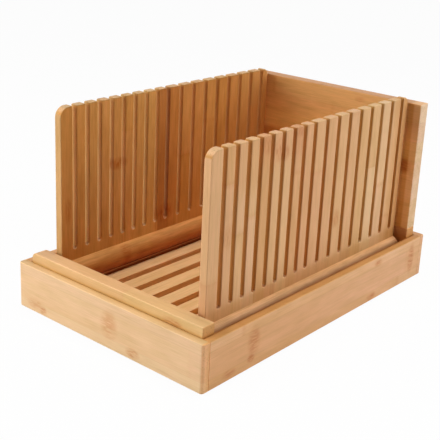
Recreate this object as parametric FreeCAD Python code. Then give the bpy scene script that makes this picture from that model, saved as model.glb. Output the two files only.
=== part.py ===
import FreeCAD, Part
import math
import os

# Bread slicer guide of bamboo board: a slatted base with two slotted guides that fold in on round
# pivot rods and a back board on pegs, standing in an open crumb tray.
# Millimetres. +X is across the loaf, +Y runs from the front rail to the back board, +Z is up.
# The origin is under the middle of the tray, on the table.

# ---- Crumb tray ----
tray_length = 345.0
tray_width = 227.0
tray_height = 43.5
tray_board_thickness = 8.0
tray_corner_radius = 3.0
tray_bottom_thickness = 4.0
tray_bottom_rise = 3.0            # the bottom panel's underside stands this far off the table
tray_groove_depth = 4.0           # how far the bottom panel reaches into each wall
tray_dowel_diameter = 5.0
tray_dowel_in_side_board = 18.0
tray_dowel_cover = 3.0            # wood left between a dowel's end and the end board's outer face
tray_dowel_above_floor = 9.0
tray_dowel_below_rim = 10.5

# ---- Slicer base ----
base_clearance = 0.6              # all round, between the rails and the tray's walls
rail_depth = 14.0
rail_height = 45.5
rail_worn_corner_radius = 5.0     # the front rail's left top corner is sanded round
slat_count = 7
slat_gap = 8.0
slats_under_rod = 2.65            # how far the outer slats' edges reach under the rods' flanks
slat_thickness = 6.0
slat_top_above_tray_floor = 11.0
slat_tenon_length = 5.0
mortise_end_clearance = 0.5

# ---- Guides and their pivot rods ----
rod_diameter = 25.5
rod_axis_above_tray_floor = 23.5
rod_setback = 4.5                 # from the rails' ends to the rod's outer side
rod_end_gap = 3.2                 # between a rod's end and the rail
guide_thickness = 8.0
folded_guide_gap = 3.85           # between a folded guide's top edge and the other rod
wood_over_pin = 0.75              # between a pivot pin and the guide board's foot
guide_corner_radius = 10.0
corner_share_of_end_slat = 0.95   # a corner's radius is at most this share of its slat's top
pivot_pin_diameter = 8.0
pivot_pin_in_rod = 14.0
wood_behind_pin = 4.5             # between a pivot pin's bore and the rail's outer face
pivot_pin_clearance = 0.06        # radial, in the rail's bore
bore_end_clearance = 0.5

# ---- Knife slots ----
knife_slot_width = 5.0
knife_slot_bottom_above_rod_axis = 22.5
knife_slot_mouth_radius = 1.2
first_slot_from_front_end = 16.2
narrow_slice_count = 8
narrow_slice_pitch = 15.0
wide_slice_pitch = 18.3
least_rear_end_slat = 8.0         # wide slices are added while the last slat stays at least this wide

# ---- Back board ----
back_board_height = 130.3
peg_diameter = 8.0
peg_in_rail = 14.0
peg_in_board = 12.0
peg_clearance = 0.06              # radial, in the board's bore
peg_from_rail_end = 34.9

# ---- Edges ----
edge_ease = 0.9                   # sanded edges
joint_ease = 0.5                  # edges that meet in a glued joint

# ---- Sizes and places that follow ----
tray_floor = tray_bottom_rise + tray_bottom_thickness
rail_top = tray_floor + rail_height
rail_half_length = tray_width / 2 - tray_board_thickness - base_clearance
rail_outer_face = tray_length / 2 - tray_board_thickness - base_clearance
rail_inner_face = rail_outer_face - rail_depth
rod_radius = rod_diameter / 2
rod_axis_height = tray_floor + rod_axis_above_tray_floor
rod_axis_from_middle = rail_half_length - rod_setback - rod_radius
rod_end = rail_inner_face - rod_end_gap
slat_top = tray_floor + slat_top_above_tray_floor
slats_half_width = rod_axis_from_middle - rod_radius + slats_under_rod
slat_width = (2 * slats_half_width - (slat_count - 1) * slat_gap) / slat_count
guide_bottom = rod_axis_height + pivot_pin_diameter / 2 + wood_over_pin
guide_top = rod_axis_height + 2 * rod_axis_from_middle - rod_radius - folded_guide_gap
knife_slot_bottom = rod_axis_height + knife_slot_bottom_above_rod_axis
pivot_pin_in_rail = rail_depth - wood_behind_pin - bore_end_clearance
peg_from_middle = rail_half_length - peg_from_rail_end

X_AXIS = FreeCAD.Vector(1, 0, 0)
Y_AXIS = FreeCAD.Vector(0, 1, 0)
Z_AXIS = FreeCAD.Vector(0, 0, 1)


def in_plan(height):
    """Places an outline's (x, y) at a height."""
    return lambda x, y: FreeCAD.Vector(x, y, height)


def facing_front(y):
    """Places an outline's (x, z) in an upright plane across the object."""
    return lambda x, z: FreeCAD.Vector(x, y, z)


def facing_side(x):
    """Places an outline's (y, z) in an upright plane along the object."""
    return lambda y, z: FreeCAD.Vector(x, y, z)


def rectangle(low_a, high_a, low_b, high_b):
    """The four corners of a rectangle, anticlockwise from the lowest."""
    return [(low_a, low_b), (high_a, low_b), (high_a, high_b), (low_a, high_b)]


def rounded_wire(corners, radii, place):
    """A closed wire through square corners, each rounded by its own radius."""
    count = len(corners)
    places = [place(a, b) for a, b in corners]
    arcs = []
    for index, (corner, radius) in enumerate(zip(places, radii)):
        back = (places[index - 1] - corner).normalize()
        ahead = (places[(index + 1) % count] - corner).normalize()
        middle = corner + (back + ahead) * (radius * (1 - math.sqrt(0.5)))
        arcs.append((corner + back * radius, middle, corner + ahead * radius))
    edges = []
    for index, (start, middle, end) in enumerate(arcs):
        edges.append(Part.Arc(start, middle, end).toShape())
        next_start = arcs[(index + 1) % count][0]
        if (next_start - end).Length > 1e-6:
            edges.append(Part.LineSegment(end, next_start).toShape())
    return Part.Wire(edges)


def block(corners, radii, place, push):
    """A board with the given outline, as thick as push is long."""
    return Part.Face(rounded_wire(corners, radii, place)).extrude(push)


def ease_rims(solid, push, radius):
    """Rounds the edges round the two faces that push joins."""
    rims = []
    for edge in solid.Edges:
        along = edge.Vertexes[-1].Point - edge.Vertexes[0].Point
        if along.cross(push).Length > 1e-6 * push.Length:
            rims.append(edge)
    return solid.makeFillet(radius, rims)


def rod_along_y(radius, x, z, low_y, high_y):
    """A plain round rod."""
    return Part.makeCylinder(radius, high_y - low_y, FreeCAD.Vector(x, low_y, z), Y_AXIS)


def box_between(low, high):
    """A box from its lowest to its highest corner."""
    size = FreeCAD.Vector(*high) - FreeCAD.Vector(*low)
    return Part.makeBox(size.x, size.y, size.z, FreeCAD.Vector(*low))


# ---- Crumb tray ----

def tray_bottom_panel():
    half_x = tray_width / 2 - tray_board_thickness + tray_groove_depth
    half_y = tray_length / 2 - tray_board_thickness + tray_groove_depth
    return box_between((-half_x, -half_y, tray_bottom_rise), (half_x, half_y, tray_floor))


def tray_corner_dowels():
    """Two hidden dowels in each corner joint, lying along Y."""
    joint_y = tray_length / 2 - tray_board_thickness
    x = (tray_width - tray_board_thickness) / 2
    heights = (tray_floor + tray_dowel_above_floor, tray_height - tray_dowel_below_rim)
    dowels = []
    for side in (-1, 1):
        for end in (-1, 1):
            low_y, high_y = sorted((end * (tray_length / 2 - tray_dowel_cover),
                                    end * (joint_y - tray_dowel_in_side_board)))
            for height in heights:
                dowels.append(rod_along_y(tray_dowel_diameter / 2, side * x, height, low_y, high_y))
    return Part.makeCompound(dowels)


def tray_end_board(end):
    """The front (-1) or rear (1) board, which laps the ends of the side boards."""
    outer = tray_length / 2
    low_y, high_y = sorted((end * outer, end * (outer - tray_board_thickness)))
    corners = rectangle(-tray_width / 2, tray_width / 2, low_y, high_y)
    low_radius, high_radius = (tray_corner_radius, edge_ease)[::-end]
    radii = (low_radius, low_radius, high_radius, high_radius)
    board = block(corners, radii, in_plan(0), Z_AXIS * tray_height)
    board = ease_rims(board, Z_AXIS, edge_ease)
    return board.cut(tray_bottom_panel()).cut(tray_corner_dowels())


def tray_side_board(side):
    """The left (-1) or right (1) board, between the end boards."""
    outer = tray_width / 2
    low_x, high_x = sorted((side * outer, side * (outer - tray_board_thickness)))
    half_length = tray_length / 2 - tray_board_thickness
    corners = rectangle(low_x, high_x, 0, tray_height)
    board = block(corners, [edge_ease] * 4, facing_front(-half_length), Y_AXIS * 2 * half_length)
    board = ease_rims(board, Y_AXIS, joint_ease)
    return board.cut(tray_bottom_panel()).cut(tray_corner_dowels())


# ---- Slicer base ----

def slat_section(number):
    """A floor slat's section: its corners and their radii."""
    pitch = slat_width + slat_gap
    middle = (number - (slat_count + 1) / 2) * pitch
    corners = rectangle(middle - slat_width / 2, middle + slat_width / 2,
                        slat_top - slat_thickness, slat_top)
    return corners, [joint_ease] * 4


def slat_solid(number, half_length):
    corners, radii = slat_section(number)
    return block(corners, radii, facing_front(-half_length), Y_AXIS * 2 * half_length)


def floor_slat(number):
    return slat_solid(number, rail_inner_face + slat_tenon_length)


def pin_hole(side, end):
    """The blind bore in a rail for a pivot pin."""
    depth = rod_end_gap + pivot_pin_in_rail + bore_end_clearance
    low_y, high_y = sorted((end * rod_end, end * (rod_end + depth)))
    return rod_along_y(pivot_pin_diameter / 2 + pivot_pin_clearance, side * rod_axis_from_middle,
                       rod_axis_height, low_y, high_y)


def board_peg(side, extra=0.0):
    """One peg of the back board, upright in the rear rail. extra widens and lengthens it."""
    foot = FreeCAD.Vector(side * peg_from_middle, rail_outer_face - rail_depth / 2, rail_top - peg_in_rail)
    end_extra = bore_end_clearance if extra else 0.0
    return Part.makeCylinder(peg_diameter / 2 + extra, peg_in_rail + peg_in_board + end_extra, foot, Z_AXIS)


def rail(end):
    """The front (-1) or rear (1) rail, with the slats' mortises and the pins' bores."""
    low_y, _ = sorted((end * rail_outer_face, end * rail_inner_face))
    corners = rectangle(-rail_half_length, rail_half_length, tray_floor, rail_top)
    left_top_radius = rail_worn_corner_radius if end < 0 else edge_ease
    radii = (edge_ease, edge_ease, edge_ease, left_top_radius)
    board = block(corners, radii, facing_front(low_y), Y_AXIS * rail_depth)
    board = ease_rims(board, Y_AXIS, edge_ease)
    mortise_end = rail_inner_face + slat_tenon_length + mortise_end_clearance
    for number in range(1, slat_count + 1):
        board = board.cut(slat_solid(number, mortise_end))
    for side in (-1, 1):
        board = board.cut(pin_hole(side, end))
        if end > 0:
            board = board.cut(board_peg(side))
    return board


# ---- Guides ----

def slot_middles():
    """Y of each knife slot's middle, from the front: narrow slices first, then wide ones."""
    first = -rod_end + first_slot_from_front_end
    middles = [first + step * narrow_slice_pitch for step in range(narrow_slice_count + 1)]
    last = rod_end - least_rear_end_slat - knife_slot_width / 2
    while middles[-1] + wide_slice_pitch < last:
        middles.append(middles[-1] + wide_slice_pitch)
    return middles


def guide_corner(slat_width_at_top):
    """The radius of a guide's top corner, which its end slat has to hold."""
    return min(guide_corner_radius, corner_share_of_end_slat * (slat_width_at_top - knife_slot_mouth_radius))


def guide_board(side):
    """A guide: a board with rounded top corners and knife slots open at the top."""
    half_slot = knife_slot_width / 2
    middles = slot_middles()
    corners = [(rod_end, guide_bottom), (rod_end, guide_top)]
    radii = [edge_ease, guide_corner(rod_end - half_slot - middles[-1])]
    for middle in reversed(middles):
        rear_side, front_side = middle + half_slot, middle - half_slot
        corners += [(rear_side, guide_top), (rear_side, knife_slot_bottom),
                    (front_side, knife_slot_bottom), (front_side, guide_top)]
        radii += [knife_slot_mouth_radius, half_slot, half_slot, knife_slot_mouth_radius]
    corners += [(-rod_end, guide_top), (-rod_end, guide_bottom)]
    radii += [guide_corner(middles[0] - half_slot + rod_end), edge_ease]
    inner_face = side * rod_axis_from_middle - guide_thickness / 2
    board = block(corners, radii, facing_side(inner_face), X_AXIS * guide_thickness)
    return ease_rims(board, X_AXIS, edge_ease)


def pivot_pin(side, end):
    """A dowel glued in the rod's end, turning in the rail's bore."""
    low_y, high_y = sorted((end * (rod_end - pivot_pin_in_rod), end * (rail_inner_face + pivot_pin_in_rail)))
    return rod_along_y(pivot_pin_diameter / 2, side * rod_axis_from_middle, rod_axis_height, low_y, high_y)


def pivot_rod(side):
    """A round rod with a groove for its guide board and a bore at each end."""
    x = side * rod_axis_from_middle
    rod = rod_along_y(rod_radius, x, rod_axis_height, -rod_end, rod_end)
    rims = [edge for edge in rod.Edges if len(edge.Vertexes) == 1]
    rod = rod.makeFillet(edge_ease, rims)
    groove = box_between((x - guide_thickness / 2, -rod_end, guide_bottom),
                         (x + guide_thickness / 2, rod_end, rod_axis_height + rod_diameter))
    rod = rod.cut(groove)
    for end in (-1, 1):
        rod = rod.cut(pivot_pin(side, end))
    return rod


# ---- Back board ----

def back_board():
    corners = rectangle(-rail_half_length, rail_half_length, rail_top, rail_top + back_board_height)
    board = block(corners, [edge_ease] * 4, facing_front(rail_inner_face), Y_AXIS * rail_depth)
    board = ease_rims(board, Y_AXIS, edge_ease)
    for side in (-1, 1):
        board = board.cut(board_peg(side, peg_clearance))
    return board


# ---- All pieces by name ----

SIDES = {"left": -1, "right": 1}
ENDS = {"front": -1, "rear": 1}

pieces = {
    "tray_bottom_panel": tray_bottom_panel(),
    "tray_corner_dowels": tray_corner_dowels(),
    "back_board": back_board(),
}
for end_name, end in ENDS.items():
    pieces["tray_" + end_name + "_board"] = tray_end_board(end)
    pieces[end_name + "_rail"] = rail(end)
for side_name, side in SIDES.items():
    pieces["tray_" + side_name + "_board"] = tray_side_board(side)
    pieces[side_name + "_guide_board"] = guide_board(side)
    pieces[side_name + "_pivot_rod"] = pivot_rod(side)
    pieces[side_name + "_board_peg"] = board_peg(side)
    for end_name, end in ENDS.items():
        pieces[side_name + "_" + end_name + "_pivot_pin"] = pivot_pin(side, end)
for number in range(1, slat_count + 1):
    pieces["floor_slat_" + str(number)] = floor_slat(number)

os.makedirs("parts", exist_ok=True)
for name, shape in pieces.items():
    shape.exportStep(os.path.join("parts", name + ".step"))
    print(name, len(shape.Solids), round(shape.Volume / 1000, 2), shape.isValid())
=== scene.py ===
"""Looks of a bamboo bread slicer that stands in its crumb tray: laminated bamboo on every board,
slat and rod, plain hardwood on dowels, pins and pegs, studio lamps, a white floor and the camera."""

from collections import namedtuple
import math

import bpy
from mathutils import Matrix, Vector


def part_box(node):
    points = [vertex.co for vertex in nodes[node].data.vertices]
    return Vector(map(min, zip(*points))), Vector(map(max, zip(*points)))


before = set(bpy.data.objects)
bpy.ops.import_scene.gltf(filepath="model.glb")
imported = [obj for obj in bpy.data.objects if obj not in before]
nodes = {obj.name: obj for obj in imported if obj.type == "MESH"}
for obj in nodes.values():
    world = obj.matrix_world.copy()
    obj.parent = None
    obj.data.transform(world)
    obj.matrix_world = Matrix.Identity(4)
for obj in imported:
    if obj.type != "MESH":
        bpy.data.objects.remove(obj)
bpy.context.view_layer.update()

X, Y, Z = 0, 1, 2
LOW, HIGH = 0, 1                      # the two corners of a box
METRE = 1000.0                        # millimetres


# ---- Shader recipes ----

class Value:
    """A shader socket. Arithmetic on it adds Math nodes to the same recipe."""

    def __init__(self, recipe, socket):
        self.recipe = recipe
        self.socket = socket

    def maths(self, operation, *others):
        inputs = dict(enumerate((self,) + others))
        return self.recipe.add("ShaderNodeMath", {"operation": operation}, inputs)

    def __add__(self, other):
        return self.maths("ADD", other)

    def __sub__(self, other):
        return self.maths("SUBTRACT", other)

    def __mul__(self, other):
        return self.maths("MULTIPLY", other)

    def __truediv__(self, other):
        return self.maths("DIVIDE", other)

    def __pow__(self, other):
        return self.maths("POWER", other)

    def __rsub__(self, other):
        return self * -1.0 + other

    __radd__ = __add__
    __rmul__ = __mul__


class Recipe:
    """A material, or another tree of shader nodes, built node by node."""

    def __init__(self, name, tree=None):
        if tree is None:
            self.material = bpy.data.materials.new(name)
            self.material.use_nodes = True
            tree = self.material.node_tree
            tree.nodes.clear()
        self.tree = tree

    def node(self, kind, settings=None, inputs=None):
        """Adds a node: its settings first, then the values or links of its sockets."""
        node = self.tree.nodes.new(kind)
        for key, setting in (settings or {}).items():
            setattr(node, key, setting)
        for key, given in (inputs or {}).items():
            if isinstance(given, Value):
                self.tree.links.new(given.socket, node.inputs[key])
            else:
                node.inputs[key].default_value = given
        return node

    def add(self, kind, settings=None, inputs=None, output=0):
        """Adds a node and gives one of its outputs."""
        return Value(self, self.node(kind, settings, inputs).outputs[output])

    def vector(self, x, y, z):
        return self.add("ShaderNodeCombineXYZ", None, {0: x, 1: y, 2: z})

    def split(self, vector):
        """A vector's three numbers."""
        return [Value(self, part) for part in self.node("ShaderNodeSeparateXYZ", None, {0: vector}).outputs]

    def place(self):
        """The place on the piece in millimetres, as three numbers."""
        return self.split(self.shade(self.add("ShaderNodeTexCoord", None, None, "Object"), METRE))

    def noise(self, kind, x, y, z):
        """Smooth noise from about 0 to 1, one cell for each step of one in x, y or z."""
        return self.add("ShaderNodeTexNoise", {"noise_dimensions": "3D"},
                        {"Vector": self.vector(x, y, z), "Scale": 1.0, "Detail": kind.detail,
                         "Roughness": kind.roughness})

    def chance(self, x, y, z):
        """A random number from 0 to 1, the same one wherever x, y and z are the same."""
        return self.add("ShaderNodeTexWhiteNoise", {"noise_dimensions": "3D"},
                        {"Vector": self.vector(x, y, z)})

    def ramp(self, value, low, high, low_out=0.0, high_out=1.0):
        """Eases from low_out to high_out as value goes from low to high."""
        return self.add("ShaderNodeMapRange", {"interpolation_type": "SMOOTHSTEP"},
                        {0: value, 1: low, 2: high, 3: low_out, 4: high_out})

    def blend(self, share, first, second):
        """A colour between first and second."""
        return self.add("ShaderNodeMix", {"data_type": "RGBA"}, {0: share, 6: first, 7: second}, 2)

    def multiply(self, colour, tint):
        """One colour seen through another."""
        return self.add("ShaderNodeMix", {"data_type": "RGBA", "blend_type": "MULTIPLY"},
                        {0: 1.0, 6: colour, 7: tint}, 2)

    def shade(self, colour, strength):
        """A colour, or another vector, times a strength."""
        return self.add("ShaderNodeVectorMath", {"operation": "SCALE"}, {0: colour, "Scale": strength})

    def finish(self, colour, roughness, height, bump_strength, bump_distance, gloss):
        """Closes a material: a bumpy surface with a uniform gloss."""
        normal = self.add("ShaderNodeBump", None, {"Strength": bump_strength, "Distance": bump_distance,
                                                   "Height": height})
        shader = self.add("ShaderNodeBsdfPrincipled", None,
                          {"Base Color": colour, "Roughness": roughness, "Normal": normal,
                           "Specular IOR Level": gloss})
        self.node("ShaderNodeOutputMaterial", None, {"Surface": shader})
        return self.material


# A kind of noise: its cells per millimetre along the fibres and across them, its detail and its roughness.
Noise = namedtuple("Noise", "along across detail roughness")
MEAN = 0.5                            # of every noise


def rgb(red, green, blue):
    return (red, green, blue, 1.0)


# ---- Bamboo ----

PALE = rgb(0.82, 0.55, 0.27)
HONEY = rgb(0.73, 0.43, 0.17)
ROSY = rgb(0.77, 0.44, 0.22)
FIBRE = rgb(0.46, 0.23, 0.08)
CULM_NODE = rgb(0.58, 0.22, 0.065)
END_GRAIN = rgb(0.92, 0.80, 0.66)
OUTSIDE = rgb(1.0, 0.90, 0.84)
# painted shade: the deeper colour beneath the skin, on inner faces, slot walls and rod sides that lie in
# shade
SHADED_INSIDE = rgb(0.93, 0.75, 0.46)
BROWNING = (0.8, 1.15, 1.55)          # darker grain is browner too: the powers of its red, green and blue

BROAD = Noise(0.006, 0.03, 1.0, 0.5)
MOTTLE = Noise(0.03, 0.1, 2.0, 0.5)
STREAKS = Noise(0.025, 0.35, 3.0, 0.6)
FIBRES = Noise(0.06, 1.5, 2.0, 0.6)
BUNDLES = Noise(0.02, 1.1, 0.0, 0.5)
HATCH = Noise(0.12, 0.6, 1.0, 0.5)    # short strokes that fray the culm nodes

WAVE = 5.0                            # how far the fibres stray sideways, in millimetres
MOST_STRIPS = 9                       # below the meeting; the last one takes in what is left of the board
GLUE_WIDTH = 0.3                      # on each side of a joint between strips
INTERNODE = 320.0                     # from one culm node of a strip to its next
CULM_SPREAD = 7.0                     # strips are out of step by up to this many internodes
LUCK_SEED = 0.5                       # these keep the strips' random numbers apart
TONE_SEED = 0.5
BLUSH_SEED = 3.5

# Where in its noise each of these begins and is whole.
TONE_RANGE = (0.1, 1.0)
MOTTLE_RANGE = (0.4, 0.7)
STREAK_RANGE = (0.46, 0.62)
BUNDLE_RANGE = (0.60, 0.74)
STROKE_RANGE = (0.38, 0.62)
STROKE_FLOOR = 0.25                   # what is left of a mark between two strokes
END_RANGE = (0.4, 0.75)               # end grain, by the cosine between its face's normal and the fibres

NODE_HALF_LENGTH = 5.0                # of a strip's own culm node, in millimetres
NODE_FRAY = 8.0
NODE_LEAST = 0.05                     # its strength, and what luck adds to that
NODE_LUCK = 0.35
SPOT_REACH = 1.6                      # a spot ends where the square of its distance, in half sizes, is this
SPOT_FRAY = 1.4

SANDED = 0.9                          # how far in the sanded edges reach
SANDED_WHOLE = 0.09

# How much each pattern counts: in how honey-coloured and how rosy the wood is, in its shade, in how pale its
# sanded edges are, partly from wear and partly as painted light, and in the roughness and the height of its
# surface.
HONEY_TONE, HONEY_BROAD = 0.75, 0.5
ROSY_BLUSH, ROSY_MOTTLE, ROSY_STREAKS, ROSY_LEAST = 0.55, 0.25, 0.2, 0.05
SHADE_FIBRES, SHADE_STREAKS, SHADE_MOTTLE = 0.2, 0.2, 0.24
WEAR_AND_LIGHT_MOTTLE, WEAR_AND_LIGHT_LEAST = 0.16, 0.04
ROUGH_FIBRES, ROUGH_MARKS, ROUGH_ENDS, SMOOTH_WORN, ROUGHNESS = 0.2, 0.1, 0.12, 0.06, 0.48
HIGH_FIBRES, HIGH_STREAKS, LOW_BUNDLES, LOW_MARKS = 0.5, 0.5, 0.4, 0.6
END_LINES = 0.3                       # how much more the fibre bundles show on end grain
BUMP_STRENGTH = 0.35
BUMP_DISTANCE = 0.0004


def strip_numbers(side, strips):
    """A place's distance from the strips' meeting, counted in strips, and the number of its strip."""
    meeting, width_below, width_above = strips
    from_meeting = side - meeting
    count = (from_meeting.maths("MINIMUM", 0.0) / width_below
             + from_meeting.maths("MAXIMUM", 0.0) / width_above)
    return count, count.maths("FLOOR").maths("MAXIMUM", -MOST_STRIPS)


def culm_marks(recipe, along, side, hatch, from_node, luck, spots):
    """How brown the wood is: a little at each strip's own culm nodes, and as given at the spots."""
    near_node = recipe.ramp(from_node + (hatch - MEAN) * NODE_FRAY, 0.0, NODE_HALF_LENGTH, 1.0, 0.0)
    marks = near_node * (luck * NODE_LUCK + NODE_LEAST)
    for spot_along, spot_side, half_length, half_width, strength in spots:
        off_along = (along - spot_along) / half_length
        off_side = (side - spot_side) / half_width
        off = off_along * off_along + off_side * off_side + (hatch - MEAN) * SPOT_FRAY
        marks = marks.maths("MAXIMUM", recipe.ramp(off, 0.0, SPOT_REACH, strength, 0.0))
    return marks * recipe.ramp(hatch, *STROKE_RANGE, STROKE_FLOOR, 1.0)


def sanded_edges(recipe, parts, box):
    """Towards 1 along a piece's edges, where two of its sides meet."""
    close = []
    for axis in (X, Y, Z):
        half = (box[HIGH][axis] - box[LOW][axis]) / 2
        from_middle = (parts[axis] - (box[HIGH][axis] - half)).maths("ABSOLUTE")
        close.append(recipe.ramp(from_middle, half - SANDED, half - SANDED_WHOLE))
    return close[X] * close[Y] + close[Y] * close[Z] + close[Z] * close[X]


def shaded(recipe, colour, parts, shades):
    """A colour under further tints, each of them only within its limits."""
    for shade, *limits in shades:
        share = 1.0
        for axis, whole, gone in limits:
            share = recipe.ramp(parts[axis], whole, gone, 1.0, 0.0) * share
        colour = recipe.blend(share, colour, recipe.multiply(colour, shade))
    return colour


def bamboo(name, seed, grain, across, strips, box, tint=OUTSIDE, skin=(), under=SHADED_INSIDE, under_shades=(),
           shades=(), spots=(), end=END_GRAIN, glue=0.08, lines=0.12, figure=1.1, gloss=0.25):
    """Laminated bamboo. Strips lie side by side along the across axis, the fibres run along the grain
    axis, and each strip has its own tone, which changes at its culm nodes. seed: makes a piece's figure
    its own. strips: (a place where two strips meet, the strips' width below it, their width above it).
    box: the piece's lowest and highest corners; its sanded edges are paler, from wear and painted light.
    skin: the colour turns from tint to under beneath it, and under is a painted shade for faces, slot walls
    and rod sides that lie in shade; each of the skin's sides is (axis, place of the skin, place beneath it).
    shades: more tints, (colour, limit, limit, ...), where a limit is (axis, place where the tint is whole,
    place where it is gone); under_shades tint only the wood beneath the skin.
    spots: culm nodes given one by one, (place along the grain, place across, half length, half width,
    strength). end: the tint of the end grain. glue, lines, figure and gloss: how strongly the joints
    between strips, the fibre bundles, the grain and the reflections show."""
    recipe = Recipe(name)
    parts = recipe.place()
    along, side, deep = parts[grain], parts[across], parts[3 - grain - across]

    broad = recipe.noise(BROAD, along * BROAD.along + seed, side * BROAD.across, deep * BROAD.across)
    wavy = side + (broad - MEAN) * WAVE
    bundles = recipe.noise(BUNDLES, along * BUNDLES.along, wavy * BUNDLES.across + seed,
                           deep * BUNDLES.across)
    mottle, streaks, fibres, hatch = (
        recipe.noise(kind, along * kind.along, sideways * kind.across, deep * kind.across + seed)
        for kind, sideways in ((MOTTLE, side), (STREAKS, wavy), (FIBRES, wavy), (HATCH, wavy)))
    bundle = recipe.ramp(bundles, *BUNDLE_RANGE)

    strip_count, strip = strip_numbers(side, strips)
    luck = recipe.chance(strip, seed, LUCK_SEED)
    culm_place = along / INTERNODE + luck * CULM_SPREAD
    culm = culm_place.maths("FLOOR")
    tone = recipe.chance(strip, culm, seed + TONE_SEED)
    blush = recipe.chance(strip, culm, seed + BLUSH_SEED)
    from_node = ((culm_place - culm) - 0.5).maths("ABSOLUTE") * -INTERNODE + INTERNODE / 2
    marks = culm_marks(recipe, along, side, hatch, from_node, luck, spots)

    facing = recipe.split(recipe.add("ShaderNodeTexCoord", None, None, "Normal"))[grain]
    end_grain = recipe.ramp(facing.maths("ABSOLUTE"), *END_RANGE)

    honey = recipe.ramp(tone * HONEY_TONE + broad * HONEY_BROAD, *TONE_RANGE)
    colour = recipe.blend(honey, PALE, HONEY)
    rosiness = (blush * ROSY_BLUSH + recipe.ramp(mottle, *MOTTLE_RANGE) * ROSY_MOTTLE
                + recipe.ramp(streaks, *STREAK_RANGE) * ROSY_STREAKS + ROSY_LEAST)
    colour = recipe.blend(rosiness.maths("MINIMUM", 1.0), colour, ROSY)
    colour = recipe.blend(bundle * (end_grain * END_LINES + lines), colour, FIBRE)
    colour = recipe.blend(end_grain, colour, recipe.multiply(colour, end))

    # Beneath the skin the colour turns to under, a painted shade for faces and slot walls that lie in shade.
    if skin:
        depth = 1.0 - end_grain
        for axis, on_skin, under_skin in skin:
            depth = recipe.ramp(parts[axis], on_skin, under_skin) * depth
        tint = recipe.blend(depth, tint, shaded(recipe, under, parts, under_shades))
    colour = recipe.multiply(recipe.blend(marks, colour, CULM_NODE), tint)
    colour = shaded(recipe, colour, parts, shades)

    grain_shade = ((fibres - MEAN) * SHADE_FIBRES + (streaks - MEAN) * SHADE_STREAKS
                   + (mottle - MEAN) * SHADE_MOTTLE) * figure + 1.0
    colour = recipe.multiply(colour, recipe.vector(*(grain_shade ** power for power in BROWNING)))
    from_strip_middle = (strip_count - strip - 0.5).maths("ABSOLUTE")
    glue_line = recipe.ramp(from_strip_middle, 0.5 - GLUE_WIDTH / strips[1], 0.5)
    # The sanded edges are paler: partly wear, partly painted light that lifts the shade on their rounding.
    edge_wear_and_light = sanded_edges(recipe, parts, box)
    colour = recipe.shade(colour, 1.0 - glue_line * glue + edge_wear_and_light * (mottle * WEAR_AND_LIGHT_MOTTLE + WEAR_AND_LIGHT_LEAST))

    roughness = ((fibres - MEAN) * ROUGH_FIBRES + marks * ROUGH_MARKS + end_grain * ROUGH_ENDS
                 - edge_wear_and_light * SMOOTH_WORN + ROUGHNESS)
    height = fibres * HIGH_FIBRES + streaks * HIGH_STREAKS - bundle * LOW_BUNDLES - marks * LOW_MARKS
    return recipe.finish(colour, roughness, height, BUMP_STRENGTH, BUMP_DISTANCE, gloss)


# ---- Hardwood ----

DOWEL_PALE = rgb(0.78, 0.58, 0.36)
DOWEL_BROWN = rgb(0.66, 0.45, 0.26)
DOWEL_PORE = rgb(0.38, 0.22, 0.11)
PORES = Noise(0.25, 2.2, 1.0, 0.5)
GROWTH = Noise(0.01, 0.5, 2.0, 0.5)
PORE_RANGE = (0.62, 0.75)
PORE_STRENGTH = 0.5                   # in the colour
PORE_DEPTH = 0.5                      # in the height of the surface
DOWEL_ROUGH_GROWTH, DOWEL_ROUGHNESS = 0.2, 0.5
DOWEL_BUMP_STRENGTH = 0.3
DOWEL_BUMP_DISTANCE = 0.0003
DOWEL_GLOSS = 0.15


def hardwood(name, seed, grain):
    """Plain pale dowel wood with short fine pores along the grain axis."""
    recipe = Recipe(name)
    parts = recipe.place()
    along, side, deep = parts[grain], parts[(grain + 1) % 3], parts[(grain + 2) % 3]
    pores, growth = (recipe.noise(kind, along * kind.along, side * kind.across + seed, deep * kind.across)
                     for kind in (PORES, GROWTH))
    pore = recipe.ramp(pores, *PORE_RANGE)
    colour = recipe.blend(growth, DOWEL_PALE, DOWEL_BROWN)
    colour = recipe.blend(pore * PORE_STRENGTH, colour, DOWEL_PORE)
    roughness = growth * DOWEL_ROUGH_GROWTH + DOWEL_ROUGHNESS
    height = growth - pore * PORE_DEPTH
    return recipe.finish(colour, roughness, height, DOWEL_BUMP_STRENGTH, DOWEL_BUMP_DISTANCE, DOWEL_GLOSS)


# ---- Skins and shades: where they lie ----

SKIN_TOP = 0.15                       # millimetres in: the pale skin is whole here, and gone at SKIN_FOOT
SKIN_FOOT = 0.9


def dress(node, material):
    """Gives a CAD node its material."""
    slots = nodes[node].data.materials
    slots.clear()
    slots.append(material)


def edges(node):
    """A CAD node's lowest and highest corners, in millimetres."""
    low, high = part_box(node)
    return low * METRE, high * METRE


def inwards(box, axis, end, whole, gone):
    """A limit that is measured inwards from one side of a box."""
    inward = 1.0 if end == LOW else -1.0
    return axis, box[end][axis] + inward * whole, box[end][axis] + inward * gone


def skins(box, *sides):
    """The skin on some sides of a box, each of them (axis, end)."""
    return [inwards(box, axis, end, SKIN_TOP, SKIN_FOOT) for axis, end in sides]


# ---- Tray ----

# Here and below, spots and limits are in millimetres on the object's own axes, and a comment beside a shade
# says what it lies on.
TRAY_STRIPS = (10.0, 24.0, 24.0)
PANEL_STRIPS = (0.0, 20.0, 20.0)
FRONT_TINT = rgb(1.0, 1.07, 1.22)
HIDDEN = rgb(1.15, 0.96, 0.67)        # the bottom panel, seen between the slats
CORNER_END = rgb(1.03, 1.06, 1.12)
REAR_CORNER_END = rgb(1.0, 1.02, 1.18)
CREVICE_SHADE = rgb(0.68, 0.51, 0.32)       # painted shade in the narrow gap between a rod and the tray

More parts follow.
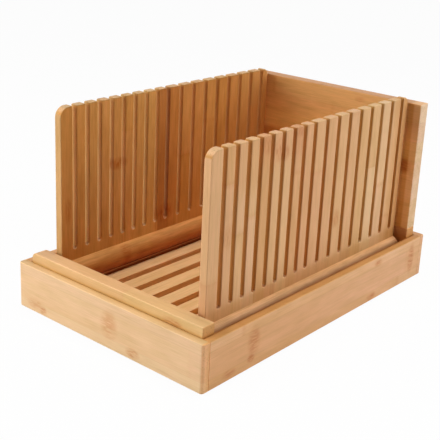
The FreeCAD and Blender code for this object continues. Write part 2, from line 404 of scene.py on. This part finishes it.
box = edges("tray_front_board")
dress("tray_front_board", bamboo(
    "tray_front_bamboo", 1, X, Z, TRAY_STRIPS, box, tint=FRONT_TINT, end=CORNER_END,
    spots=[(-80.0, 5.5, 5.0, 4.5, 0.9), (-90.0, 8.0, 12.0, 5.0, 0.6), (7.0, 22.0, 10.0, 14.0, 0.65),
           (36.0, 6.5, 8.0, 4.5, 1.0)],
    shades=[(rgb(1.1, 1.12, 1.0), inwards(box, Z, HIGH, 0.2, 0.9)),        # painted light on its rim
            (rgb(0.90, 0.86, 0.74), inwards(box, Y, HIGH, 1.0, 6.0)),      # painted shade on its face towards the rail
            (rgb(1.14, 0.94, 0.78), inwards(box, X, HIGH, 1.0, 2.6))]))    # its right end
dress("tray_rear_board", bamboo("tray_rear_bamboo", 2, X, Z, TRAY_STRIPS, edges("tray_rear_board"),
                                end=REAR_CORNER_END))
dress("tray_left_board", bamboo("tray_left_bamboo", 3, Y, Z, TRAY_STRIPS, edges("tray_left_board")))
box = edges("tray_right_board")
dress("tray_right_board", bamboo(
    "tray_right_bamboo", 4, Y, Z, TRAY_STRIPS, box,
    spots=[(-140.0, 6.0, 9.0, 4.0, 0.7), (-109.0, 24.0, 8.0, 14.0, 0.75), (-112.0, 9.5, 5.0, 4.0, 1.0),
           (83.0, 37.5, 7.0, 3.5, 0.9), (148.0, 24.0, 6.0, 16.0, 1.0), (75.0, 5.0, 8.0, 4.0, 0.9)],
    shades=[(rgb(1.09, 1.15, 1.30), (Z, 35.5, 34.0)),                      # its pale top strip
            (rgb(0.84, 0.745, 0.50), inwards(box, Z, HIGH, 0.1, 0.9)),     # its rim
            # painted shade on its inner face near the rim, beside the right rod
            (CREVICE_SHADE, inwards(box, X, LOW, 0.5, 2.5), (Z, 36.0, 30.0)),
            (rgb(1.08, 1.16, 1.3), inwards(box, Y, LOW, 0.2, 1.0)),        # painted light at the front corner's joint, against the shade in its groove
            (rgb(1.0, 1.04, 1.16), (Y, box[HIGH].y, box[LOW].y))]))        # paler towards the rear
dress("tray_bottom_panel", bamboo(
    "tray_bottom_bamboo", 5, Y, X, PANEL_STRIPS, edges("tray_bottom_panel"), tint=HIDDEN, gloss=0.0,
    shades=[(rgb(0.76, 0.42, 0.36), (X, -93.0, -88.0))]))                  # painted shade under the left rod
dress("tray_corner_dowels", hardwood("corner_dowel_wood", 30, Y))


# ---- Rails, floor slats and back board ----

RAIL_STRIPS = (0.0, 22.0, 22.0)
BACK_STRIPS = (4.0, 20.0, 20.0)
FLOOR_SLATS = 7
FLOOR_STRIPS = (11.65, 23.3, 23.3)    # the strips meet in the middle of a gap between two slats
RAIL_TINT = rgb(0.94, 0.98, 0.88)
RAIL_END = rgb(0.98, 0.81, 0.69)
FLOOR_TINT = rgb(1.17, 1.26, 1.30)
BACK_END = rgb(1.06, 1.31, 1.78)
# painted shade: the colour of the back board's inner face, beneath its skin
BACK_UNDER = rgb(0.98, 0.84, 0.57)
RECESS_SHADE = (rgb(0.90, 0.70, 0.64), (Y, 150.0, 151.0), (X, 95.0, 84.0))       # painted shade beside the right rod's rear end

for node, seed, more_shades in (("front_rail", 6, []), ("rear_rail", 7, [RECESS_SHADE])):
    box = edges(node)
    dress(node, bamboo(
        node + "_bamboo", seed, X, Z, RAIL_STRIPS, box, tint=RAIL_TINT, end=RAIL_END,
        spots=[(72.0, 44.5, 11.0, 5.0, 0.9)],
        shades=[(rgb(1.02, 0.94, 0.70), (Z, 43.5, 46.0), (Z, 41.0, 37.0)),  # painted shade, warm, just above the tray's rim, where rail and tray meet
                (rgb(1.22, 1.19, 1.30), inwards(box, Z, HIGH, 0.1, 0.9))]   # painted light on its top
        + more_shades))
for number in range(1, FLOOR_SLATS + 1):
    node = "floor_slat_%d" % number
    dress(node, bamboo(node + "_bamboo", 8 + number, Y, X, FLOOR_STRIPS, edges(node), tint=FLOOR_TINT,
                       lines=0.3))
box = edges("back_board")
dress("back_board", bamboo(
    "back_board_bamboo", 8, X, Z, BACK_STRIPS, box, under=BACK_UNDER, end=BACK_END, figure=1.6,
    skin=skins(box, (Y, HIGH), (Z, HIGH), (X, HIGH), (X, LOW)),
    spots=[(35.0, 175.5, 7.0, 3.0, 0.4), (95.0, 118.0, 6.0, 7.0, 0.8)],
    shades=[(rgb(0.70, 0.60, 0.54), inwards(box, Z, HIGH, 0.2, 0.9), (X, 91.0, 97.0))],   # its top
    under_shades=[
        (rgb(1.25, 1.35, 1.4), (Z, 138.0, 168.0)),                                 # painted light, lighter low down
        (rgb(0.86, 0.72, 0.57), (X, 92.0, 90.0), (X, 96.0, 98.5)),                 # painted shadow of the right guide
        (rgb(0.80, 0.62, 0.48), (X, 95.5, 98.0), (Z, 122.0, 129.0), (Z, 114.0, 108.0)),    # round a node
        (rgb(1.02, 1.03, 1.30), (X, 98.5, 96.0))]))                                # painted light towards its right edge, beyond that shadow


# ---- Guides ----

GUIDE_STRIPS = (-10.5, 15.0, 18.3)    # one to a slat: 15 mm apart in front of this slot, 18.3 mm behind it
ROD_STRIPS = (8.0, 20.0, 20.0)
GUIDE_END = rgb(1.02, 1.07, 1.18)
ROD_TINT = rgb(1.02, 0.95, 0.90)
GUIDE_TOP = (Z, 188.3, 187.4)
LEFT_BOX = edges("left_guide_board")
RIGHT_BOX = edges("right_guide_board")

GUIDES = {
    "left": {
        "sign": -1, "seed": 20, "box": LEFT_BOX, "outer": LOW, "figure": 1.8,
        # its under colour is painted shade, on its inner face and slot walls
        "tint": OUTSIDE, "under": rgb(0.89, 0.69, 0.405),
        "spots": [(125.0, -77.0, 6.0, 12.0, 1.0), (60.0, -12.0, 10.0, 12.0, 1.0),
                  (92.0, -139.0, 14.0, 4.0, 0.7)],
        "shades": [
            (rgb(0.82, 0.89, 0.92), GUIDE_TOP),
            (rgb(0.76, 0.745, 0.61), inwards(LEFT_BOX, Y, LOW, SKIN_TOP, SKIN_FOOT))],    # its front end
        "under_shades": [
            (rgb(1.0, 0.98, 0.92), (Z, 170.0, 100.0)),                                    # towards the top
            (rgb(1.0, 1.07, 1.15), (Y, 150.0, 60.0)),                                     # towards the rear
            (rgb(0.97, 0.92, 0.85), (Y, -122.0, -108.0)),                                 # its front slats
            (rgb(1.02, 1.08, 1.14), (Y, -112.0, -122.0), (Y, -32.0, -26.0)),              # those behind them
            (rgb(0.78, 0.65, 0.57), (Y, -22.0, -22.8), (Y, -8.0, -7.0)),                  # a brown slat
            (rgb(0.89, 0.80, 0.70), (Y, -7.0, -8.0), (Y, 4.5, 5.5)),                      # and its neighbour
            (rgb(0.97, 1.17, 1.42), (X, -89.5, -86.6))],                                  # painted light deep in the slots, where light comes through them
        "rod_spots": [(-72.0, -78.0, 7.0, 4.0, 0.9), (-52.0, -72.0, 10.0, 4.0, 0.6)]},
    "right": {
        "sign": 1, "seed": 21, "box": RIGHT_BOX, "outer": HIGH, "figure": 1.0,
        # its under colour is painted shade, on its slot walls and inner face
        "tint": rgb(1.04, 0.955, 0.95), "under": SHADED_INSIDE,
        "spots": [(90.0, 33.0, 9.0, 6.0, 0.6), (182.0, -77.0, 9.0, 7.0, 0.6),
                  (113.0, -123.0, 11.0, 5.0, 0.45), (174.0, -60.0, 11.0, 8.0, 0.65),
                  (170.0, -52.0, 7.0, 5.0, 0.7), (185.0, -33.0, 5.0, 7.0, 0.5)],
        "shades": [
            (rgb(0.92, 0.95, 0.94), GUIDE_TOP),
            (rgb(0.86, 0.85, 0.83), inwards(RIGHT_BOX, Y, LOW, SKIN_TOP, SKIN_FOOT)),     # its front end
            (rgb(1.01, 1.14, 1.27), (Y, RIGHT_BOX[HIGH].y, -40.0)),                       # paler to the rear
            (rgb(0.89, 0.74, 0.53), (Y, 145.0, 108.0)),                                   # its last two slats
            (rgb(1.06, 1.15, 1.26), (Z, 130.0, 160.0), (Y, -115.0, -116.0), (Y, -86.0, -85.0)),  # two slats
            (rgb(1.06, 1.07, 1.09), (Z, 175.0, 140.0), (Y, -70.0, -40.0)),                # its top front
            (rgb(0.95, 0.87, 0.85), (Z, 178.0, 150.0), (Y, -84.0, -87.0), (Y, -29.0, -26.0)),  # a stain
            (rgb(0.93, 0.86, 0.74), inwards(RIGHT_BOX, Z, LOW, 14.0, 22.0), (Y, -135.0, -155.0))],  # its foot
        "under_shades": [
            (rgb(0.86, 0.83, 0.79), (X, 90.0, 86.0)),                                     # painted shade shallow in a slot, near its outer face
            (rgb(0.88, 0.85, 0.77), (Y, -60.0, -10.0)),                                   # the front slots
            (rgb(1.08, 1.18, 1.36), (Y, 45.0, 0.0))],                                     # the rear slots
        "rod_spots": []},
}
FOOT_SHADE = rgb(0.95, 0.96, 0.92)
FOOT_HEIGHT = 35.0

# Where a rod's skin and its painted shades lie: distances from its middle towards the nearer side of the
# tray.
ROD_SKIN = (6.0, -1.0)
ROD_INNER = (-7.0, -4.5)
ROD_CREVICE = (11.6, 7.2)

for side, look in GUIDES.items():
    sign, seed, box = look["sign"], look["seed"], look["box"]
    dress(side + "_guide_board", bamboo(
        side + "_guide_bamboo", seed, Z, Y, GUIDE_STRIPS, box, tint=look["tint"], under=look["under"],
        skin=skins(box, (X, look["outer"]), (Y, LOW), (Y, HIGH), (Z, HIGH)), end=GUIDE_END, glue=0.0,
        figure=look["figure"], gloss=0.15, spots=look["spots"], under_shades=look["under_shades"],
        shades=look["shades"] + [(FOOT_SHADE, inwards(box, Z, LOW, 0.0, FOOT_HEIGHT), (Y, -135.0, -150.0))]))
    box = edges(side + "_pivot_rod")
    middle = (box[LOW].x + box[HIGH].x) / 2
    rod_skin, inner, crevice = [(X, middle + sign * whole, middle + sign * gone)
                                for whole, gone in (ROD_SKIN, ROD_INNER, ROD_CREVICE)]
    dress(side + "_pivot_rod", bamboo(
        side + "_rod_bamboo", seed + 2, Y, X, ROD_STRIPS, box, tint=ROD_TINT, skin=[rod_skin], figure=2.8,
        spots=look["rod_spots"],
        shades=[(rgb(0.64, 0.38, 0.235), (Z, 25.5, 42.0), inner),          # painted shade on its lower inner side
                (rgb(0.55, 0.38, 0.31), (Z, 18.5, 28.0), inner),           # and more painted shade on the lowest part of that
                # painted shade on its outer side, in the gap by the tray
                (CREVICE_SHADE, crevice),
                (rgb(1.22, 1.23, 1.25), (Z, 42.6, 39.5))]))                # painted highlight on its top
    dress(side + "_board_peg", hardwood(side + "_peg_wood", seed + 4, Z))
    for end, end_seed in (("front", 6), ("rear", 8)):
        dress("%s_%s_pivot_pin" % (side, end),
              hardwood("%s_%s_pin_wood" % (side, end), seed + end_seed, Y))


# ---- Camera ----

IMAGE_SIZE = 440.0                    # pixels, square
FOCAL_PIXELS = 922.91
AXIS_PIXEL_Y = 190.0                  # the optical axis meets the picture this far down
SENSOR_WIDTH = 36.0
CAMERA_PLACE = (0.524696, -0.654350, 0.382026)
CAMERA_AZIMUTH = math.radians(39.86)
CAMERA_ELEVATION = math.radians(18.5)
CAMERA_ROLL = math.radians(2.7)


def away_from_front(azimuth, elevation):
    """The unit vector at an azimuth, 0 to the front and 90 degrees to the right, and an elevation."""
    return Vector((math.sin(azimuth) * math.cos(elevation), -math.cos(azimuth) * math.cos(elevation),
                   math.sin(elevation)))


def make_camera():
    data = bpy.data.cameras.new("camera")
    data.sensor_width = SENSOR_WIDTH
    data.lens = FOCAL_PIXELS / IMAGE_SIZE * SENSOR_WIDTH
    data.shift_y = (AXIS_PIXEL_Y - IMAGE_SIZE / 2) / IMAGE_SIZE
    camera = bpy.data.objects.new("camera", data)
    bpy.context.scene.collection.objects.link(camera)
    back = away_from_front(CAMERA_AZIMUTH, CAMERA_ELEVATION)
    level_right = Vector((0, 0, 1)).cross(back).normalized()
    level_up = back.cross(level_right)
    right = level_right * math.cos(CAMERA_ROLL) + level_up * math.sin(CAMERA_ROLL)
    up = level_up * math.cos(CAMERA_ROLL) - level_right * math.sin(CAMERA_ROLL)
    turn = Matrix((right, up, back)).transposed().to_4x4()
    camera.matrix_world = Matrix.Translation(CAMERA_PLACE) @ turn
    bpy.context.scene.camera = camera


# ---- Studio ----

OBJECT_MIDDLE = Vector((0.0, 0.0, 0.08))
LAMP_DISTANCE = 1.4
LAMPS = (                             # name, azimuth and elevation in degrees, side in metres, watts
    ("lamp_above", 180.0, 85.0, 0.5, 11.0),
    ("lamp_front", -31.0, 12.0, 1.15, 20.0),
    ("lamp_right", 110.0, 12.0, 0.9, 7.2),
    ("lamp_behind", 135.0, 25.0, 0.9, 4.0),
)
ROOM_LIGHT = 0.02                     # how much of the white room's light falls on the object
FLOOR_HALF = 3.0
FLOOR_DROP = 0.0004
FLOOR_WHITENESS = 0.97                # the rest of the floor's look shows the object's shadow
FLOOR_PAPER = rgb(0.85, 0.85, 0.85)
WHITE = rgb(1.0, 1.0, 1.0)


def make_lamp(name, azimuth, elevation, size, watts):
    """A square lamp aimed at the object's middle."""
    data = bpy.data.lights.new(name, "AREA")
    data.shape = "SQUARE"
    data.size = size
    data.energy = watts
    lamp = bpy.data.objects.new(name, data)
    bpy.context.scene.collection.objects.link(lamp)
    away = away_from_front(math.radians(azimuth), math.radians(elevation))
    lamp.matrix_world = (Matrix.Translation(OBJECT_MIDDLE + away * LAMP_DISTANCE)
                         @ away.to_track_quat("Z", "Y").to_matrix().to_4x4())


def seen_white(recipe):
    """1 for the camera's own rays, for gloss and for what is seen through glass, 0 for other light."""
    path = recipe.node("ShaderNodeLightPath").outputs
    seen = Value(recipe, path["Is Camera Ray"])
    for ray in ("Is Glossy Ray", "Is Transmission Ray"):
        seen = seen.maths("MAXIMUM", Value(recipe, path[ray]))
    return seen


def make_world():
    """A plain white room that gives little light of its own."""
    world = bpy.data.worlds.new("room")
    bpy.context.scene.world = world
    world.use_nodes = True
    world.node_tree.nodes.clear()
    recipe = Recipe(None, world.node_tree)
    strength = seen_white(recipe) * (1.0 - ROOM_LIGHT) + ROOM_LIGHT
    background = recipe.add("ShaderNodeBackground", None, {"Color": WHITE, "Strength": strength})
    recipe.node("ShaderNodeOutputWorld", None, {"Surface": background})


def make_floor():
    """A white floor that keeps a soft share of the object's shadow."""
    corners = [(x, y, -FLOOR_DROP) for x, y in ((-FLOOR_HALF, -FLOOR_HALF), (FLOOR_HALF, -FLOOR_HALF),
                                                (FLOOR_HALF, FLOOR_HALF), (-FLOOR_HALF, FLOOR_HALF))]
    mesh = bpy.data.meshes.new("floor")
    mesh.from_pydata(corners, [], [(0, 1, 2, 3)])
    floor = bpy.data.objects.new("floor", mesh)
    bpy.context.scene.collection.objects.link(floor)
    recipe = Recipe("floor_white")
    paper = recipe.add("ShaderNodeBsdfDiffuse", None, {"Color": FLOOR_PAPER})
    white = recipe.add("ShaderNodeEmission", None, {"Color": WHITE, "Strength": 1.0})
    surface = recipe.add("ShaderNodeMixShader", None,
                         {0: seen_white(recipe) * FLOOR_WHITENESS, 1: paper, 2: white})
    recipe.node("ShaderNodeOutputMaterial", None, {"Surface": surface})
    mesh.materials.append(recipe.material)


make_camera()
make_floor()
make_world()
for lamp in LAMPS:
    make_lamp(*lamp)

bpy.context.scene.view_settings.view_transform = "Standard"
